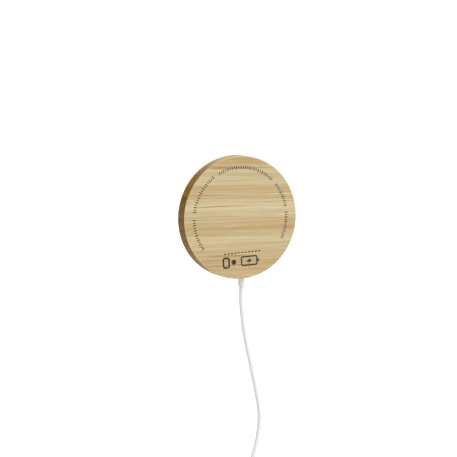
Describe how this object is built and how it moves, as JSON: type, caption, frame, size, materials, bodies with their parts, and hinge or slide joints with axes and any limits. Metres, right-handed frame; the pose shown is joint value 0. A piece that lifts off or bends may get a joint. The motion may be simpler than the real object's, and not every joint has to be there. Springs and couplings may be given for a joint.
{
  "type": "wireless charging pad",
  "caption": "Round magnetic wireless charging pad in a turned bamboo body, with a thin light grey power cord wound for storage and a plug on its end.",
  "frame": {"origin": "centre of the charging face, the flat face that a phone is held against", "axes": "+Y is the charging face's outward normal, towards the phone; +Z points away from the cord's exit, so the cord leaves the rim along -Z and hangs down; +X is to the right seen from the printed back"},
  "size_m": [0.0713, 0.0383, 0.172],
  "materials": {
    "bamboo": "satin, horizontal strip grain",
    "cap_plastic": "fine matte",
    "silicone": "soft matte",
    "tape": "matte",
    "foam": "open foam",
    "copper": "enamelled copper",
    "ferrite": "pressed ferrite",
    "aluminium": "rolled",
    "frame_plastic": "moulded",
    "magnet": "nickel plated",
    "steel": "plated",
    "thermistor": "dipped resin",
    "board": "solder mask",
    "chip": "moulded",
    "capacitor": "fired ceramic",
    "passive": "fired ceramic",
    "solder": "bright solder",
    "collar": "smooth moulded",
    "cord": "smooth soft jacket",
    "red_insulation": "extruded",
    "black_insulation": "extruded",
    "green_insulation": "extruded",
    "tie": "woven strap",
    "plug_moulding": "fine matte",
    "plug_steel": "nickel plated",
    "plug_plastic": "moulded",
    "gold": "gold plated",
    "ink": "pad-printed ink of the marks on the back"
  },
  "bodies": {
    "root": {"bamboo_body": "bamboo", "charging_cap": "cap_plastic", "grip_ring": "silicone", "cap_adhesive_ring": "tape", "foam_pad": "foam", "charging_coil": "copper", "coil_leads": "copper", "ferrite_disc": "ferrite", "shield_plate": "aluminium", "inner_frame": "frame_plastic", "ring_magnets": "magnet", "magnet_yoke": "steel", "coil_thermistor": "thermistor", "circuit_board": "board", "controller_chip": "chip", "power_chips": "chip", "resonant_capacitors": "capacitor", "filter_inductor": "ferrite", "small_passives": "passive", "solder_joints": "solder", "board_screws": "steel", "cable_clamp": "frame_plastic", "clamp_screws": "steel", "cable_collar": "collar", "cord_tail": "cord", "red_wire": "red_insulation", "black_wire": "black_insulation", "data_wires": "green_insulation", "power_cord": "cord", "cord_coil": "cord", "plug_lead": "cord", "cable_tie": "tie", "plug_relief": "plug_moulding", "plug_body": "plug_moulding", "plug_shell": "plug_steel", "plug_tongue": "plug_plastic", "plug_contacts": "gold"}
  },
  "joints": []
}
